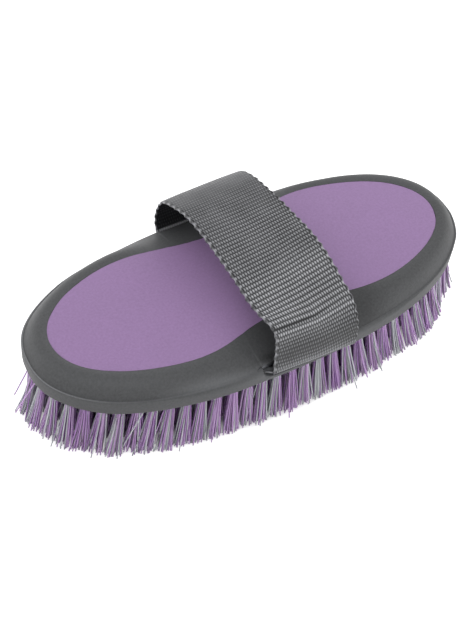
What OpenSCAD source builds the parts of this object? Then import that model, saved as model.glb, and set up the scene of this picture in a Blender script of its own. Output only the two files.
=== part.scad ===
// Oval horse body brush: a two-piece moulded back with a soft inlay, a webbing hand strap
// held on two steel pins, and five rings of punched filament tufts.
// The origin is the middle of the plane that the bristle tips stand on, X runs along the brush.

/* [Body] */
// Length of the oval body
body_l = 210; // [175:1:255]
// Width of the oval body
body_w = 90; // [75:1:110]
// Squareness of the oval outline, where 2 is an ellipse
oval_power = 2.28; // [2:0.02:2.8]
// Height of the board's upright edge
edge_h = 7; // [6.4:0.1:9]
// How far the cover's foot stands back from the board's edge
foot_step = 0.8; // [0.3:0.1:2]
// Rise of the cover from the board to the edge of the inlay
cover_rise = 7.6; // [6.4:0.1:10]
// Fullness of the cover's rounded shoulder
shoulder_bulge = 0.42; // [0.1:0.02:0.5]
// Height of the hollow under the cover
hollow_h = 4; // [2.5:0.1:4.4]
// Width of the cover's foot where it stands on the board
foot_w = 5.2; // [4:0.1:8]

/* [Inlay] */
// Thickness of the soft inlay
inlay_t = 1.6; // [1:0.1:2]
// Width of the bare rim at the two ends
rim_end = 10.3; // [7:0.1:16]
// Width of the bare rim at the two lobes
rim_side = 11.5; // [8:0.1:16]
// How much deeper the rim is at the waist
waist_depth = 9.5; // [0:0.1:12]
// Half length of the waist
waist_reach = 29.4; // [20:0.1:36]
// Crown of the inlay over its edge
inlay_crown = 1.6; // [0.5:0.1:3]
// Gap of adhesive between the inlay and its recess
inlay_gap = 0.1; // [0.05:0.01:0.3]

/* [Hand strap] */
// Width of the webbing
strap_w = 40; // [30:1:50]
// Thickness of the webbing
strap_t = 1.4; // [1:0.1:1.8]
// Height of the strap's top above the board's lower face
strap_rise = 32; // [28:0.5:45]
// Radius of the two bends at the sides of the strap
bend_r = 7; // [4:0.5:10]
// Radius of the shallow arch between the bends
arch_r = 150; // [110:5:300]
// Room between the webbing and each end of its slot
slot_room = 4; // [3:0.5:6]
// How far the webbing sits from the middle of its slot
strap_shift = 2.5; // [-2.5:0.5:2.5]
// Thickness of the lip outside the slot
lip_t = 1.5; // [1:0.1:2.5]
// Height of the lip
lip_h = 2.5; // [2:0.1:4]
// Gap between the webbing and the slot's walls
strap_gap = 0.2; // [0.1:0.05:0.4]
// Diameter of the steel pin in each end of the strap
pin_d = 3; // [2:0.1:3]
// How far the pin reaches into the board past each end of the slot
pin_hold = 4; // [3:0.5:8]
// Gap around the pin
pin_gap = 0.1; // [0.05:0.01:0.2]

/* [Bristles] */
// Trim height of the bristles below the board
bristle_h = 25; // [15:1:35]
// Distance from one tuft to the next along a ring
tuft_pitch = 6.8; // [6.4:0.2:10]
// Distance from the edge of the board to the first ring's seat
seat_edge = 2; // [1.5:0.1:3]
// Half width of the bare strip along the middle
middle_bare = 4; // [3:0.5:8]
// Distance from a seat's outer edge to its tufts
root_in = 2.5; // [2:0.1:3]
// Thickness of the slice of backing that carries a ring of tufts
slice_t = 1; // [0.6:0.1:1.1]
// Gap between neighbouring slices
slice_gap = 0.4; // [0.3:0.05:0.8]
// Radius of a bundle of filaments at its root
root_r = 0.85; // [0.5:0.05:1]
// Radius of a bundle of filaments at its tip
tip_r = 1; // [0.3:0.05:1.2]
// Outward lean of the tips of the first ring
outer_lean = 7.5; // [3:0.5:9]
// Largest unevenness of the trimmed tips
trim_spread = 1.2; // [0:0.1:2]
// Length of the flat wire that anchors a tuft
anchor_l = 3; // [2:0.1:3.5]
// Height of the anchor wire
anchor_h = 0.8; // [0.4:0.1:0.8]
// Thickness of the anchor wire
anchor_t = 0.5; // [0.3:0.05:0.8]

/* [Screws] */
// Diameter of the cover screws
screw_d = 3; // [2.5:0.1:3.5]
// Diameter of the screw heads
head_d = 5.6; // [5:0.1:6.5]
// Height of the screw heads
head_h = 2; // [1.5:0.1:2.4]
// Distance from the end of the body to the screws
screw_end = 45; // [30:1:55]
// Distance across the brush between two screws
screw_span = 28; // [20:1:32]
// Depth of screw held in the board
screw_hold = 4.2; // [3:0.1:4.6]
// Radial gap around the screws in the cover
screw_gap = 0.2; // [0.1:0.05:0.4]
// Radial gap around the screws in the board
thread_gap = 0.05; // [0.02:0.01:0.1]
// Wall of the screw posts under the cover
post_wall = 2.3; // [1.5:0.1:3]

/* [Hidden] */

// Colours
dark_grey = "#4c4d50";
lilac = "#9678a8";
webbing_grey = "#77787c";
filament_grey = "#93989a";
steel = "#c4c6c8";

// Small overshoot of cuts that run out through a face
over = 1;

// Heights
board_z = bristle_h;
joint_z = board_z + edge_h;
inlay_z = joint_z + cover_rise;
floor_z = inlay_z - inlay_t;
hollow_z = joint_z + hollow_h;
slice_z = board_z + slice_t;

// Strap, slot and pin
slot_l = strap_w + 2 * slot_room;
slot_y = body_w / 2 - lip_t;
leg_y = slot_y - strap_gap;
eye_r = pin_d / 2 + pin_gap + strap_t;
pin_y = leg_y - eye_r;
pin_z = joint_z - pin_d / 2 - 2 * pin_gap;
pin_l = slot_l + 2 * pin_hold;
trough_y = pin_y - eye_r - 2 * strap_gap;
trough_z = pin_z - eye_r - strap_gap;
notch_y = leg_y - strap_t - 2 * strap_gap;
relief_z = pin_z + eye_r + strap_gap;

// Arch of the strap: the bends are tangent to the legs and to the shallow arch
strap_top = board_z + strap_rise;
bend_y = leg_y - bend_r;
arch_z = strap_top - arch_r;
arch_turn = asin(bend_y / (arch_r - bend_r));
bend_z = arch_z + (arch_r - bend_r) * cos(arch_turn);

// Rings of tufts
rows = 5;
slice_w = (body_w / 2 - seat_edge - middle_bare) / rows;
lean_share = [1, 0.6, 0.34, 0.16, 0.06];
row_bundles = [2, 2, 2, 1, 1];
row_seed = [11, 23, 37, 41, 59];
pair_pull = 0.2;
pair_spread = 0.5;
tip_scatter = 0.5;
flat_cut = 0.5;

// Screws
screw_x = body_l / 2 - screw_end;
screw_y = screw_span / 2;
head_sink = 0.4;
seat_z = floor_z - head_h - head_sink;
head_slot_l = 3.4;
head_slot_w = 0.8;
head_slot_d = 1;
post_r = head_d / 2 + screw_gap + post_wall;

// Steps round the outline and across the cover
around = 96;
shoulder_steps = 8;
shoulder_crowding = 1.5;
crown_steps = 5;
arc_steps = 720;
bend_steps = 12;
arch_steps = 16;
eye_steps = 32;
inlay_end_power = 2.6;
inlay_side_power = 0.84;
waist_power = 2.5;

function signed_power(v, p) = sign(v) * pow(abs(v), p);
function unit(v) = v / norm(v);
function mix(a, b, share) = a + (b - a) * share;

// Point of the body's outline at angle t, set in by d
function outline_at(t, d) =
    [(body_l / 2 - d) * signed_power(cos(t), 2 / oval_power),
     (body_w / 2 - d) * signed_power(sin(t), 2 / oval_power)];

// Outward direction of that outline
function outward_at(t, d) =
    let (power = 2 - 2 / oval_power)
    unit([signed_power(cos(t), power) / (body_l / 2 - d), signed_power(sin(t), power) / (body_w / 2 - d)]);

// Point of the waisted inlay's outline at angle t, set in by d
function inlay_at(t, d) =
    let (x = (body_l / 2 - rim_end - d) * signed_power(cos(t), 2 / inlay_end_power),
         y = (body_w / 2 - rim_side - d) * pow(abs(sin(t)), inlay_side_power))
    [x, sign(sin(t)) * (y - waist_depth * exp(-pow(abs(x) / waist_reach, waist_power)))];

function outline(d) = [for (k = [0 : around - 1]) outline_at(360 * k / around, d)];
function lift(points, z) = [for (p = points) [p[0], p[1], z]];

// Ring of the cover's shoulder, s runs from the foot to the inlay
function shoulder_ring(s) =
    [for (k = [0 : around - 1])
        let (t = 360 * k / around,
             p = mix(outline_at(t, foot_step), inlay_at(t, 0), s))
        [p[0], p[1], joint_z + cover_rise * (s + shoulder_bulge * sin(180 * s))]];

// Ring of the crowned face inside the inlay's outline, q runs from 1 at the edge to 0
function crown_ring(q, z, d) =
    [for (k = [0 : around - 1])
        let (p = inlay_at(360 * k / around, d) * q)
        [p[0], p[1], z + inlay_crown * (1 - q * q)]];

// Closed skin over a list of rings of equal count, with a point at each end
module skin(rings, first, last) {
    n = len(rings[0]);
    m = len(rings);
    points = concat([first], [for (ring = rings) each ring], [last]);
    faces = concat(
        [for (k = [0 : n - 1]) [0, 1 + (k + 1) % n, 1 + k]],
        [for (r = [0 : m - 2], k = [0 : n - 1])
            [1 + r * n + k, 1 + r * n + (k + 1) % n, 1 + (r + 1) * n + k]],
        [for (r = [0 : m - 2], k = [0 : n - 1])
            [1 + r * n + (k + 1) % n, 1 + (r + 1) * n + (k + 1) % n, 1 + (r + 1) * n + k]],
        [for (k = [0 : n - 1]) [1 + (m - 1) * n + k, 1 + (m - 1) * n + (k + 1) % n, 1 + m * n]]);
    polyhedron(points, [for (f = faces) [f[2], f[1], f[0]]]);
}

module at_screws() {
    for (x = [-screw_x, screw_x], y = [-screw_y, screw_y])
        translate([x, y, 0]) children();
}

module both_sides() {
    for (side = [0, 1])
        mirror([0, side, 0]) children();
}

// Block along the slot between two distances from the middle and two heights
module slot_block(length, y0, y1, z0, z1) {
    translate([-length / 2, y0, z0]) cube([length, y1 - y0, z1 - z0]);
}

// Moulded cover with the inlay's recess, the strap notches and four screw posts
module back_shell() {
    shoulders = [for (i = [1 : shoulder_steps]) shoulder_ring(pow(i / shoulder_steps, shoulder_crowding))];
    floors = [for (i = [0 : crown_steps - 1]) crown_ring(1 - i / crown_steps, floor_z, 0)];
    inner = outline(foot_step + foot_w);
    color(dark_grey)
    difference() {
        union() {
            skin(concat([lift(inner, hollow_z), lift(inner, joint_z), shoulder_ring(0)], shoulders, floors),
                 [0, 0, hollow_z], [0, 0, floor_z + inlay_crown]);
            at_screws() translate([0, 0, joint_z]) cylinder(r = post_r, h = hollow_h + over / 2, $fn = 48);
        }
        at_screws() translate([0, 0, seat_z])
            cylinder(r = head_d / 2 + screw_gap, h = inlay_z - seat_z + inlay_crown, $fn = 48);
        at_screws() translate([0, 0, joint_z - over])
            cylinder(r = screw_d / 2 + screw_gap, h = seat_z - joint_z + 2 * over, $fn = 48);
        both_sides() slot_block(slot_l, notch_y, body_w, joint_z - over, inlay_z + inlay_crown + over);
        both_sides() slot_block(slot_l, trough_y, notch_y + over, joint_z - over, relief_z);
    }
}

// Soft waisted pad that fills the recess in the cover
module inlay_pad() {
    under_z = floor_z + inlay_gap;
    under = [for (i = [crown_steps - 1 : -1 : 0]) crown_ring(1 - i / crown_steps, under_z, inlay_gap)];
    upper = [for (i = [0 : crown_steps - 1]) crown_ring(1 - i / crown_steps, inlay_z, inlay_gap)];
    color(lilac)
    skin(concat(under, upper), [0, 0, under_z + inlay_crown], [0, 0, inlay_z + inlay_crown]);
}

// Lengths along a ring set in by d, each with its angle
function ring_table(d) =
    let (points = [for (i = [0 : arc_steps]) outline_at(360 * i / arc_steps, d)])
    [for (i = 0, s = 0; i <= arc_steps; s = s + norm(points[(i + 1) % arc_steps] - points[i]), i = i + 1)
        [s, 360 * i / arc_steps]];

function row_outer(row) = seat_edge + row * slice_w;
function row_root(row) = row_outer(row) + root_in;

// Tufts of one ring, an even number so that both ends of the brush are alike
function tuft_count(row) = 2 * floor(ring_table(row_root(row))[arc_steps][0] / tuft_pitch / 2);
function bundle_count(row) = tuft_count(row) * row_bundles[row];

// Angles of the tufts of one ring, spaced evenly along it
function tuft_angles(row) =
    let (table = ring_table(row_root(row)),
         count = tuft_count(row))
    [for (j = [0 : count - 1]) lookup((j + 0.5) / count * table[arc_steps][0], table)];

// Angles of the joints between the cells of one ring's slice
function cell_angles(row) =
    let (table = ring_table(row_root(row)),
         count = bundle_count(row))
    [for (i = [0 : count - 1]) lookup(i / count * table[arc_steps][0], table)];

// One anchor wire across each tuft of a ring, swollen by gap
module anchors(row, gap) {
    for (t = tuft_angles(row)) {
        p = outline_at(t, row_root(row));
        v = outward_at(t, row_root(row));
        translate([p[0], p[1], slice_z])
            rotate(atan2(v[1], v[0]))
            translate([-anchor_t / 2 - gap, -anchor_l / 2 - gap, -gap])
            cube([anchor_t + 2 * gap, anchor_l + 2 * gap, anchor_h + 2 * gap]);
    }
}

// Board with the seat for the slices, the anchor slots, the strap troughs and the screw holes
module bristle_board() {
    color(dark_grey)
    difference() {
        translate([0, 0, board_z]) linear_extrude(edge_h) polygon(outline(0));
        difference() {
            translate([0, 0, board_z - over]) linear_extrude(slice_t + over)
                polygon(outline(seat_edge - slice_gap));
            translate([0, 0, board_z - 2 * over]) linear_extrude(slice_t + 4 * over)
                polygon([for (t = cell_angles(rows - 1)) outline_at(t, row_outer(rows))]);
        }
        for (row = [0 : rows - 1]) anchors(row, thread_gap);
        both_sides() slot_block(slot_l, trough_y, slot_y, trough_z, joint_z + over);
        both_sides() slot_block(slot_l, slot_y - over, body_w, board_z + lip_h, joint_z + over);
        both_sides() translate([-pin_l / 2 - pin_gap, pin_y, pin_z]) rotate([0, 90, 0])
            cylinder(r = pin_d / 2 + pin_gap, h = pin_l + 2 * pin_gap, $fn = 48);
        both_sides() slot_block(pin_l + 2 * pin_gap, pin_y - pin_d / 2 - pin_gap, pin_y + pin_d / 2 + pin_gap,
                                pin_z, joint_z + over);
        at_screws() translate([0, 0, joint_z - screw_hold - thread_gap])
            cylinder(r = screw_d / 2 + thread_gap, h = screw_hold + over, $fn = 48);
    }
}

// Right half of the strap's section, from the top of the arch round the eye and back
function strap_half() =
    let (inner_bend = bend_r - strap_t,
         inner_arch = arch_r - strap_t,
         eye_turn = 360 - acos((eye_r - strap_t) / eye_r))
    concat(
        [for (i = [0 : arch_steps - 1]) let (a = arch_turn * i / arch_steps)
            [arch_r * sin(a), arch_z + arch_r * cos(a)]],
        [for (i = [0 : bend_steps]) let (a = arch_turn + (90 - arch_turn) * i / bend_steps)
            [bend_y + bend_r * sin(a), bend_z + bend_r * cos(a)]],
        [for (i = [0 : eye_steps]) let (a = eye_turn * i / eye_steps)
            [pin_y + eye_r * cos(a), pin_z - eye_r * sin(a)]],
        [for (i = [bend_steps : -1 : 0]) let (a = arch_turn + (90 - arch_turn) * i / bend_steps)
            [bend_y + inner_bend * sin(a), bend_z + inner_bend * cos(a)]],
        [for (i = [arch_steps - 1 : -1 : 0]) let (a = arch_turn * i / arch_steps)
            [inner_arch * sin(a), arch_z + inner_arch * cos(a)]]);

// Webbing strap with an eye for a pin at each end
module hand_strap() {
    half = strap_half();
    last = len(half) - 1;
    color(webbing_grey)
    translate([strap_shift - strap_w / 2, 0, 0]) rotate([90, 0, 90])
    difference() {
        linear_extrude(strap_w)
            polygon(concat(half, [for (i = [last - 1 : -1 : 1]) [-half[i][0], half[i][1]]]));
        for (y = [-pin_y, pin_y])
            translate([y, pin_z, -over]) cylinder(r = pin_d / 2 + pin_gap, h = strap_w + 2 * over, $fn = 48);
    }
}

// Steel pin in the eye of the webbing
module strap_pin(y) {
    color(steel)
    translate([-pin_l / 2, y, pin_z]) rotate([0, 90, 0]) cylinder(d = pin_d, h = pin_l, $fn = 48);
}

// Pan-head screws that hold the cover down on the board, hidden under the inlay
module cover_screws() {
    color(steel)
    at_screws() difference() {
        union() {
            translate([0, 0, seat_z]) cylinder(d = head_d, h = head_h, $fn = 48);
            translate([0, 0, joint_z - screw_hold])
                cylinder(d = screw_d, h = seat_z - joint_z + screw_hold + head_h / 2, $fn = 48);
        }
        for (turn = [0, 90]) rotate(turn)
            translate([-head_slot_l / 2, -head_slot_w / 2, seat_z + head_h - head_slot_d])
            cube([head_slot_l, head_slot_w, head_slot_d + over]);
    }
}

module tuft_anchors() {
    color(steel)
    for (row = [0 : rows - 1]) anchors(row, 0);
}

// One ring of tufts on its slice of the backing. The slice is cut into one cell for each bundle of
// filaments, and each bundle is a three-sided taper that grows out of the lower face of its cell.
module bristle_row(row, tone) {
    bundles = row_bundles[row];
    count = bundle_count(row);
    chance = rands(-1, 1, 3 * count, row_seed[row]);
    outer_d = row_outer(row);
    inner_d = row_outer(row + 1) - slice_gap;
    angles = cell_angles(row);
    outer = [for (t = angles) outline_at(t, outer_d)];
    inner = [for (t = angles) outline_at(t, inner_d)];
    depth = root_in / (inner_d - outer_d);
    points = [for (i = [0 : count - 1])
        let (n = (i + 1) % count,
             side = bundles == 1 ? 0 : 2 * (i % bundles) - 1,
             share = 0.5 - side * pair_pull,
             outer_mid = mix(outer[i], outer[n], share),
             inner_mid = mix(inner[i], inner[n], share),
             root = mix(outer_mid, inner_mid, depth),
             across = unit(outer_mid - inner_mid),
             along = unit(mix(outer[n], inner[n], depth) - mix(outer[i], inner[i], depth)),
             out = [along[1], -along[0]],
             tip = root + out * (lean_share[row] * outer_lean + tip_scatter * chance[3 * i])
                 + along * (side * pair_spread + tip_scatter * chance[3 * i + 1]),
             tip_z = max(0, (trim_spread + flat_cut) * (chance[3 * i + 2] + 1) / 2 - flat_cut))
        each concat(
            lift([outer[i], inner[i]], board_z),
            lift([outer[i], inner[i]], slice_z),
            lift([for (a = [0, 120, 240]) root + root_r * (across * cos(a) + along * sin(a))], board_z),
            lift([for (a = [0, 120, 240]) tip + tip_r * (across * cos(a) + along * sin(a))], tip_z))];
    faces = [for (i = [0 : count - 1])
        let (c = 10 * i,
             n = 10 * ((i + 1) % count))
        each [
            [c, n, c + 4], [n, c + 5, c + 4], [n, n + 1, c + 5], [n + 1, c + 6, c + 5],
            [n + 1, c + 1, c + 6], [c + 1, c, c + 6], [c, c + 4, c + 6],
            [c + 4, c + 5, c + 8], [c + 4, c + 8, c + 7], [c + 5, c + 6, c + 9], [c + 5, c + 9, c + 8],
            [c + 6, c + 4, c + 7], [c + 6, c + 7, c + 9], [c + 7, c + 8, c + 9],
            [c, c + 2, n], [n, c + 2, n + 2], [c + 1, n + 1, c + 3], [n + 1, n + 3, c + 3],
            [c + 2, c + 3, n + 2], [n + 2, c + 3, n + 3]]];
    color(tone) polyhedron(points, faces);
}

back_shell();
inlay_pad();
bristle_board();
hand_strap();
strap_pin(-pin_y);  // strap_pin_front
strap_pin(pin_y);  // strap_pin_rear
cover_screws();
tuft_anchors();
bristle_row(0, lilac);  // bristle_row_1
bristle_row(1, filament_grey);  // bristle_row_2
bristle_row(2, lilac);  // bristle_row_3
bristle_row(3, filament_grey);  // bristle_row_4
bristle_row(4, lilac);  // bristle_row_5
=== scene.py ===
import math

import bpy
import numpy as np
from mathutils import Matrix, Vector
from mathutils.geometry import delaunay_2d_cdt


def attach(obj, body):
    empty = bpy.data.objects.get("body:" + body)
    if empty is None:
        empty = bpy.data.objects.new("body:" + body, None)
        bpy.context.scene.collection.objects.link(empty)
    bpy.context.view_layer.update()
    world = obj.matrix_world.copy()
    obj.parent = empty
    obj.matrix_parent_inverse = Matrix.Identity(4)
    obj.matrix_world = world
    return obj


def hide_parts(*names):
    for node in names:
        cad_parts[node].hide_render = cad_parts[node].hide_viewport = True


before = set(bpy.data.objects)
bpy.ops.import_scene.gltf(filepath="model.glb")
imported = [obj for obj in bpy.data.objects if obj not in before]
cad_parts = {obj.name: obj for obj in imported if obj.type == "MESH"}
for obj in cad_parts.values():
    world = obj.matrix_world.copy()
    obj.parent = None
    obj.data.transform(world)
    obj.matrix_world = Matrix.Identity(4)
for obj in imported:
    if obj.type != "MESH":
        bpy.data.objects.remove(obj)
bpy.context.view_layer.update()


# Camera. The brush is seen from its front left corner, well above the strap, through a long lens.
# The aim is given as turn, height and tilt, with the body's lower face as the middle of the view.
MM = 0.001
picture_long_side = 626
focal_pixels = 1803
turn, height, tilt = (math.radians(a) for a in (-39.28, 47.75, 9.34))
view_distance = 773.94
view_offset = (-4.84, -8.23)
aim_height = 25

toward = Vector((math.sin(turn) * math.cos(height), -math.cos(turn) * math.cos(height), math.sin(height)))
level_right = Vector((math.cos(turn), math.sin(turn), 0))
level_up = toward.cross(level_right)
right = level_right * math.cos(tilt) + level_up * math.sin(tilt)
up = level_up * math.cos(tilt) - level_right * math.sin(tilt)
eye = right * view_offset[0] + up * view_offset[1] + toward * view_distance + Vector((0, 0, aim_height))

camera_data = bpy.data.cameras.new("camera")
camera_data.sensor_width = 36
camera_data.lens = focal_pixels * camera_data.sensor_width / picture_long_side
camera_data.clip_start, camera_data.clip_end = 0.01, 50
camera = bpy.data.objects.new("camera", camera_data)
camera.matrix_world = Matrix.Translation(eye * MM) @ Matrix((right, up, toward)).transposed().to_4x4()
bpy.context.scene.collection.objects.link(camera)
bpy.context.scene.camera = camera


# Board. A moulded oval plate in dark grey soft-touch plastic that carries the bristles: an upright edge
# with a thin shoulder carrying a painted highlight, drilled underneath for the tufts, and a low lip at each
# strap slot.
body_length, body_width, oval_power = 210, 90, 2.28
board_under, board_over = 25, 32
swell_table = ((-180, -0.5), (-170, -0.5), (-160, -0.4), (-150, 0.1), (-138, 0.8), (-115, 1.0), (-106, 0.9),
               (-98, 0.3), (-84, 0.2), (-70, 0.3), (-50, 0.1), (-38, -0.3), (-25, -0.3), (-20, 0.1),
               (-15, 0.2), (-10, 0.5), (-5, 1.1),
               (5, 1.9), (15, 2.1), (30, 2.1), (40, 1.8), (48, 0.9), (58, -0.5), (65, -0.7), (70, 0.1),
               (78, 1.4), (85, 0.9), (95, -0.1), (108, -0.2), (122, 0.1), (130, 0.25), (138, 0.1),
               (158, 0.1), (164, -0.2), (170, -0.5), (176, -0.8), (180, -0.5))
swell_reach = 4.0
slot_ends, slot_curve = ((-20.6, 24.6), (-19.8, 21.8)), 5
slot_bends = (13.5, 26.0)
crack_reach = 2.8
lip_height = 2.0
lip_top, lip_round, lip_wall = 0.7, 0.9, 1.05
trough_floor, trough_reach = 27.1, 8.1
corner = 0.5
waist_end, waist_fade = 40, 34
draft_most, draft_start, draft_fade = 0.5, 84, 20
round_ends, round_waist, round_slot = 0.3, 2.2, 0.2
# Painted light and shade on the board: the upright band painted darker at the ends and lighter mid-way,
# painted highlights on the ledge and the waist's rounded edge, and the slots' lip and trough painted
# lighter against their shade.
band_places, band_shading_tones = (-95, -60, -20, 20, 60, 95), (-0.28, -0.08, 0.25, 0.2, -0.12, -0.3)
slot_shade_lift = 0.9
ledge_places, ledge_highlights = (-104, -95, -85, -70, 30), (2.0, 1.4, 0.8, 0.3, 0.15)
waist_highlight, waist_highlight_place, waist_highlight_length = 0.7, -44, 20
band_rings, ledge_rings = 9, 5
ring_insets = (4.5, 12.3, 20.1, 27.9, 35.7)
ring_tufts = (68, 62, 54, 48, 42)
hole_radius, hole_depth, hole_sides = 1.8, 1.3, 14


def signed_power(v, p):
    return np.sign(v) * np.abs(v) ** p


def outline(t, inset=0.0):
    """Points of the body's oval at the angles t, set in by a distance. Its edge is a little uneven."""
    x = (body_length / 2 - inset) * signed_power(np.cos(t), 2 / oval_power)
    y = (body_width / 2 - inset) * signed_power(np.sin(t), 2 / oval_power)
    turned = np.degrees(np.arctan2(np.sin(t), np.cos(t)))
    swell = np.interp(turned, *zip(*swell_table)) * max(0, 1 - inset / swell_reach)
    return np.stack([x * (1 + 2 * swell / body_length), y * (1 + 2 * swell / body_width)], -1)


def outward(t, inset=0.0):
    """Unit normals of that oval."""
    p = 2 - 2 / oval_power
    n = np.stack([signed_power(np.cos(t), p) / (body_length / 2 - inset),
                  signed_power(np.sin(t), p) / (body_width / 2 - inset)], -1)
    return n / np.linalg.norm(n, axis=-1, keepdims=True)


def even_angles(inset, share):
    """Angles at the given shares of the way round the oval, measured along it."""
    t = np.linspace(0, 2 * np.pi, 7201)
    step = np.linalg.norm(np.diff(outline(t, inset), axis=0), axis=1)
    way = np.concatenate([[0], np.cumsum(step)])
    return np.interp(np.asarray(share) * way[-1], way, t)


def body_angles(even=224, extra=36):
    """Angles round the body: even steps, and finer ones where the slots end."""
    t = list(even_angles(0, np.arange(even) / even))
    for x in np.linspace(*slot_bends, extra):
        a = math.acos((x / (body_length / 2)) ** (oval_power / 2))
        t += [a, np.pi - a, np.pi + a, 2 * np.pi - a]
    t = np.sort(np.array(t))
    return t[np.append(True, np.diff(t) > 8e-4)]


round_body = body_angles()
body_xy = outline(round_body)
body_x = np.abs(body_xy[:, 0])


def slot_share(places, crack=0.0):
    """1 along a strap slot, falling to 0 at its ends. A crack runs on beyond the front one's left end."""
    rear = places[:, 1] > 0
    before = np.where(rear, slot_ends[1][0], slot_ends[0][0] - crack) - places[:, 0]
    after = places[:, 0] - np.where(rear, slot_ends[1][1], slot_ends[0][1])
    beyond = np.maximum(before, after) + slot_curve
    return np.sqrt(1 - np.clip(beyond / slot_curve, 0, 1) ** 2)


def smooth_step(v):
    v = np.clip(v, 0, 1)
    return v * v * (3 - 2 * v)


def bell(v, middle, width):
    return np.exp(-((v - middle) / width) ** 2)


def ring_at(inset, z):
    """One ring round the body. The inset and the height may change along it."""
    inset = np.broadcast_to(inset, round_body.shape)
    xy = np.stack([outline(t, d) for t, d in zip(round_body, inset)])
    return np.column_stack([xy, np.broadcast_to(z, round_body.shape)])


def ring_faces(rings, n):
    """Quads between rings of n points that follow each other."""
    k = np.arange(n)
    return [np.stack([r * n + k, r * n + (k + 1) % n, (r + 1) * n + (k + 1) % n, (r + 1) * n + k], 1)
            for r in range(rings - 1)]


def make_piece(name, points, faces, sharp=40):
    """A mesh object from points in millimetres, smooth but for edges past the sharp angle."""
    mesh = bpy.data.meshes.new(name)
    mesh.from_pydata((np.asarray(points) * MM).tolist(), [], [list(map(int, f)) for f in faces])
    mesh.validate()
    mesh.polygons.foreach_set("use_smooth", np.ones(len(mesh.polygons), bool))
    if sharp:
        mesh.set_sharp_from_angle(angle=math.radians(sharp))
    piece = bpy.data.objects.new(name, mesh)
    bpy.context.scene.collection.objects.link(piece)
    return piece


tufts = []
for row, (inset, count) in enumerate(zip(ring_insets, ring_tufts)):
    angles = even_angles(inset, (np.arange(count) + 0.5) / count)
    for place, out in zip(outline(angles, inset), outward(angles, inset)):
        tufts.append((row, place, out))


def drilled_underside(edge):
    """Points and triangles of the lower face inside the edge ring, with a blind hole for each tuft."""
    turns = np.arange(hole_sides) / hole_sides * 2 * np.pi
    circle = hole_radius * np.stack([np.cos(turns), np.sin(turns)], 1)
    outer = len(edge)
    flat = np.concatenate([edge[:, :2]] + [place + circle for _, place, _ in tufts])
    loops = [list(range(outer))]
    loops += [[outer + i * hole_sides + k for k in range(hole_sides)] for i in range(len(tufts))]
    sides = [(loop[k], loop[(k + 1) % len(loop)]) for loop in loops for k in range(len(loop))]
    found = delaunay_2d_cdt([Vector(p) for p in flat], sides, [], 1, 1e-6)
    xy = np.array([tuple(v) for v in found[0]])
    middles = np.stack([place for _, place, _ in tufts])
    triangles = []
    for f in found[2]:
        centre = xy[f].mean(0)
        if np.linalg.norm(middles - centre, axis=1).min() > hole_radius * 0.97:
            triangles.append(list(f)[::-1])
    points = [np.column_stack([xy, np.full(len(xy), float(board_under))])]
    start = len(xy)
    of_input = {}
    for new, olds in enumerate(found[3]):
        for old in olds:
            of_input[old] = new
    for i, (_, place, _) in enumerate(tufts):
        rim = [of_input[k] for k in loops[i + 1]]
        points.append(np.column_stack([place + circle, np.full(hole_sides, board_under + hole_depth)]))
        deep = start + np.arange(hole_sides)
        start += hole_sides
        for k in range(hole_sides):
            n = (k + 1) % hole_sides
            triangles.append([rim[k], deep[k], deep[n], rim[n]])
        triangles.append(list(deep[::-1]))
    return np.concatenate(points), triangles, [of_input[k] for k in loops[0]]


on_slot = slot_share(body_xy)
on_crack = slot_share(body_xy, crack_reach)
at_waist = 1 - smooth_step((body_x - waist_end) / waist_fade)
end_draft = draft_most * smooth_step((body_x - draft_start) / draft_fade)
edge_round = round_ends + round_waist * (1 - on_slot) * at_waist + round_slot * on_slot
edge_top = board_over - (board_over - board_under - lip_height) * on_slot
trough = board_over - (board_over - trough_floor) * on_crack
board_rings = [ring_at(end_draft + corner, board_under)]
for a in (30, 60, 90):
    a = math.radians(a)
    corner_inset = end_draft + corner * (1 - math.sin(a))
    board_rings.append(ring_at(corner_inset, board_under + corner * (1 - math.cos(a))))
side_height = edge_top - edge_round - board_under - corner
for share in (0.35, 0.7):
    board_rings.append(ring_at(end_draft * (1 - share), board_under + corner + side_height * share))
for a in (0, 18, 36, 54, 72, 90):
    a = math.radians(a)
    board_rings.append(ring_at(edge_round * (1 - math.cos(a)), edge_top - edge_round * (1 - math.sin(a))))
board_rings += [ring_at(edge_round + lip_top, edge_top),
                ring_at(edge_round + lip_round, edge_top - 0.1 * on_slot),
                ring_at(edge_round + lip_wall, trough),
                ring_at(trough_reach - 0.5, trough), ring_at(trough_reach, trough + 0.5 * on_crack),
                ring_at(trough_reach + 0.2, board_over), ring_at(20, board_over), ring_at(36, board_over)]

around = len(round_body)
low_points, low_faces, low_edge = drilled_underside(board_rings[0])
board_points = [low_points] + board_rings[1:] + [np.array([[0, 0, board_over]])]
first_ring = len(low_points)
board_faces = list(low_faces)
for k in range(around):
    n = (k + 1) % around
    board_faces.append([low_edge[k], low_edge[n], first_ring + n, first_ring + k])
for quads in ring_faces(len(board_rings) - 1, around):
    board_faces += (quads + first_ring).tolist()
last_ring = first_ring + (len(board_rings) - 2) * around
board_faces += [[last_ring + k, last_ring + (k + 1) % around, last_ring + around] for k in range(around)]
board = make_piece("board", np.concatenate(board_points), board_faces)

# The board's painted light and shade per ring: band shading, ledge and waist highlights, and the lighter
# slots.
band_shading = np.interp(body_xy[:, 0], band_places, band_shading_tones)
ledge_highlight = np.interp(body_xy[:, 0], ledge_places, ledge_highlights) * (1 - at_waist)
waist_highlight_tone = waist_highlight * bell(body_xy[:, 0], waist_highlight_place, waist_highlight_length)
ledge_highlight = ledge_highlight + waist_highlight_tone * at_waist
ring_tones = [band_shading] * (band_rings - 1) + [ledge_highlight] * ledge_rings
ring_tones += [slot_shade_lift * on_crack] * (len(board_rings) - 1 - len(ring_tones))
board_tones = np.concatenate([np.zeros(first_ring)] + ring_tones + [[0.0]])
board.data.attributes.new("painted_shading", "FLOAT", "POINT").data.foreach_set("value", board_tones)


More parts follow.
